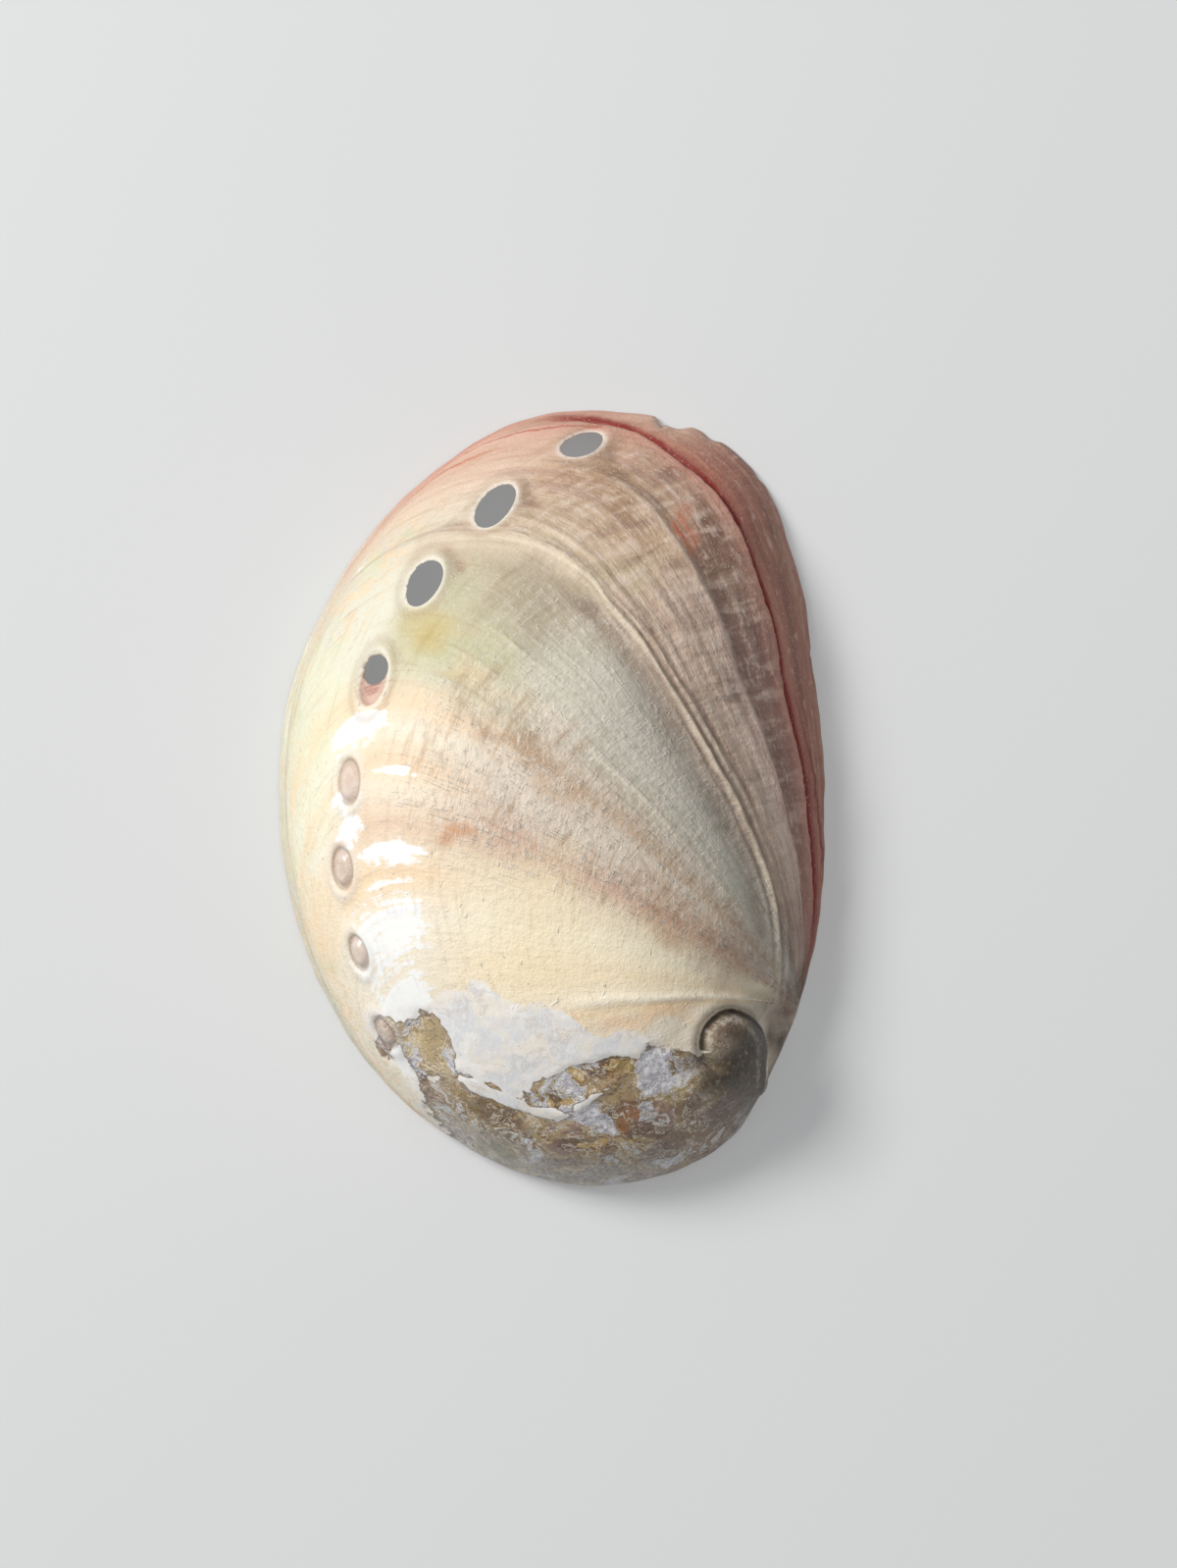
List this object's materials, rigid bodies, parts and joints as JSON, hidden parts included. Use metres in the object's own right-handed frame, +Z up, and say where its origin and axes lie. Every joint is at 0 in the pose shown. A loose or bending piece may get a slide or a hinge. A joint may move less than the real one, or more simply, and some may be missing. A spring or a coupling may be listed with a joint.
{
  "type": "abalone shell",
  "caption": "Ear-shaped natural sea shell: a low dome with a small coil at the back, a curved row of breathing pores, and a wide pearly hollow underneath.",
  "frame": {"origin": "centre of the shell's bounding box, on the plane the margin rests on", "axes": "+Z up through the dome, away from the hollow; +Y along the length towards the front, where the newest pore is; +X towards the thin outer lip"},
  "size_m": [0.0636, 0.0902, 0.025],
  "materials": {
    "shell": "worn matt outside with bare pearly patches, glossy iridescent nacre inside"
  },
  "bodies": {
    "root": {"shell": "shell"}
  },
  "joints": []
}
